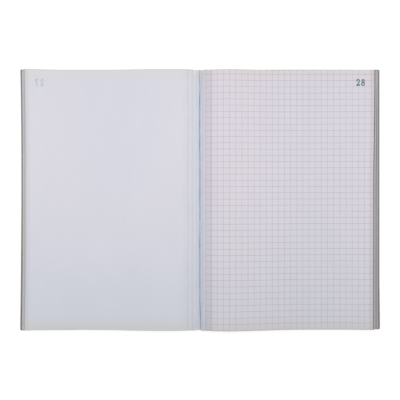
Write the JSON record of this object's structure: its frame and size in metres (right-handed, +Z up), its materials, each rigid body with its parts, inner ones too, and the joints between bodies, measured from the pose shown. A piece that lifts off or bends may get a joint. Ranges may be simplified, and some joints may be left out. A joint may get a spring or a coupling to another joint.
{
  "type": "triplicate book",
  "caption": "Open A5-size triplicate copy book with squared, numbered leaves in two curved blocks, board covers, a cloth spine tape and a writing shield.",
  "frame": {"origin": "centre of the open book's footprint, on the surface that it lies on", "axes": "+X across the spread towards the right-hand page's fore-edge, +Y along the spine towards the head of the page, +Z up"},
  "size_m": [0.2936, 0.2124, 0.0106],
  "materials": {
    "leaf_paper_left": "matt, uncoated bluish white copy paper",
    "leaf_paper_right": "matt, uncoated white copy paper with faint grey-violet 5 mm squares",
    "stub_paper": "glued paper stubs, bluish from the pressed copy coating",
    "cover_board": "grey board, matt",
    "spine_cloth": "fine dark blue-grey bookbinding cloth",
    "shield_card": "manila card, matt"
  },
  "bodies": {
    "right_block": {"set_29": "leaf_paper_right", "set_30": "leaf_paper_right", "set_31": "leaf_paper_right", "set_32": "leaf_paper_right", "set_33": "leaf_paper_right", "set_34": "leaf_paper_right", "set_35": "leaf_paper_right", "set_36": "leaf_paper_right", "set_37": "leaf_paper_right", "set_38": "leaf_paper_right", "set_39": "leaf_paper_right", "set_40": "leaf_paper_right", "set_41": "leaf_paper_right", "set_42": "leaf_paper_right", "set_43": "leaf_paper_right", "set_44": "leaf_paper_right", "set_45": "leaf_paper_right", "set_46": "leaf_paper_right", "set_47": "leaf_paper_right", "set_48": "leaf_paper_right", "set_49": "leaf_paper_right", "set_50": "leaf_paper_right", "stub_pad_right": "stub_paper", "spine_tape_right": "spine_cloth"},
    "left_block": {"set_01": "leaf_paper_left", "set_02": "leaf_paper_left", "set_03": "leaf_paper_left", "set_04": "leaf_paper_left", "set_05": "leaf_paper_left", "set_06": "leaf_paper_left", "set_07": "leaf_paper_left", "set_08": "leaf_paper_left", "set_09": "leaf_paper_left", "set_10": "leaf_paper_left", "set_11": "leaf_paper_left", "set_12": "leaf_paper_left", "set_13": "leaf_paper_left", "set_14": "leaf_paper_left", "set_15": "leaf_paper_left", "set_16": "leaf_paper_left", "set_17": "leaf_paper_left", "set_18": "leaf_paper_left", "set_19": "leaf_paper_left", "set_20": "leaf_paper_left", "set_21": "leaf_paper_left", "set_22": "leaf_paper_left", "set_23": "leaf_paper_left", "set_24": "leaf_paper_left", "set_25": "leaf_paper_left", "set_26": "leaf_paper_left", "set_27_original_and_duplicate": "leaf_paper_left", "leaf_27_triplicate": "leaf_paper_left", "stub_pad_left": "stub_paper", "spine_tape_left": "spine_cloth"},
    "leaf_28_original": {"leaf_28_original": "leaf_paper_right"},
    "leaf_28_duplicate": {"leaf_28_duplicate": "leaf_paper_right"},
    "leaf_28_triplicate": {"leaf_28_triplicate": "leaf_paper_right"},
    "front_cover": {"front_cover": "cover_board"},
    "back_cover": {"back_cover": "cover_board"},
    "writing_shield": {"writing_shield": "shield_card"}
  },
  "joints": [
    {"name": "book_close", "type": "hinge", "parent": "right_block", "child": "left_block", "pos_m": [-0.00056, 0, 0.009], "axis": [0, -1, 0], "range_deg": [-172.5, 0]},
    {"name": "front_cover_fold", "type": "hinge", "parent": "left_block", "child": "front_cover", "pos_m": [-0.00526, 0, 0.00005], "axis": [0, -1, 0], "range_deg": [0, 175]},
    {"name": "back_cover_fold", "type": "hinge", "parent": "right_block", "child": "back_cover", "pos_m": [0.00294, 0, 0.00005], "axis": [0, -1, 0], "range_deg": [-175, 0]},
    {"name": "leaf_28_turn", "type": "hinge", "parent": "right_block", "child": "leaf_28_original", "pos_m": [0.00422, 0, 0.00756], "axis": [0, -1, 0], "range_deg": [0, 162]},
    {"name": "leaf_28_duplicate_turn", "type": "hinge", "parent": "right_block", "child": "leaf_28_duplicate", "pos_m": [0.00422, 0, 0.00756], "axis": [0, -1, 0], "range_deg": [0, 158]},
    {"name": "leaf_28_triplicate_turn", "type": "hinge", "parent": "right_block", "child": "leaf_28_triplicate", "pos_m": [0.00422, 0, 0.00756], "axis": [0, -1, 0], "range_deg": [0, 154]},
    {"name": "shield_slide", "type": "slide", "parent": "right_block", "child": "writing_shield", "axis": [1, 0, 0], "range_m": [0, 0.135]}
  ],
  "couplings": [
    {"joint": "leaf_28_duplicate_turn", "follows": "leaf_28_turn", "ratio": 0.975},
    {"joint": "leaf_28_triplicate_turn", "follows": "leaf_28_turn", "ratio": 0.95}
  ]
}
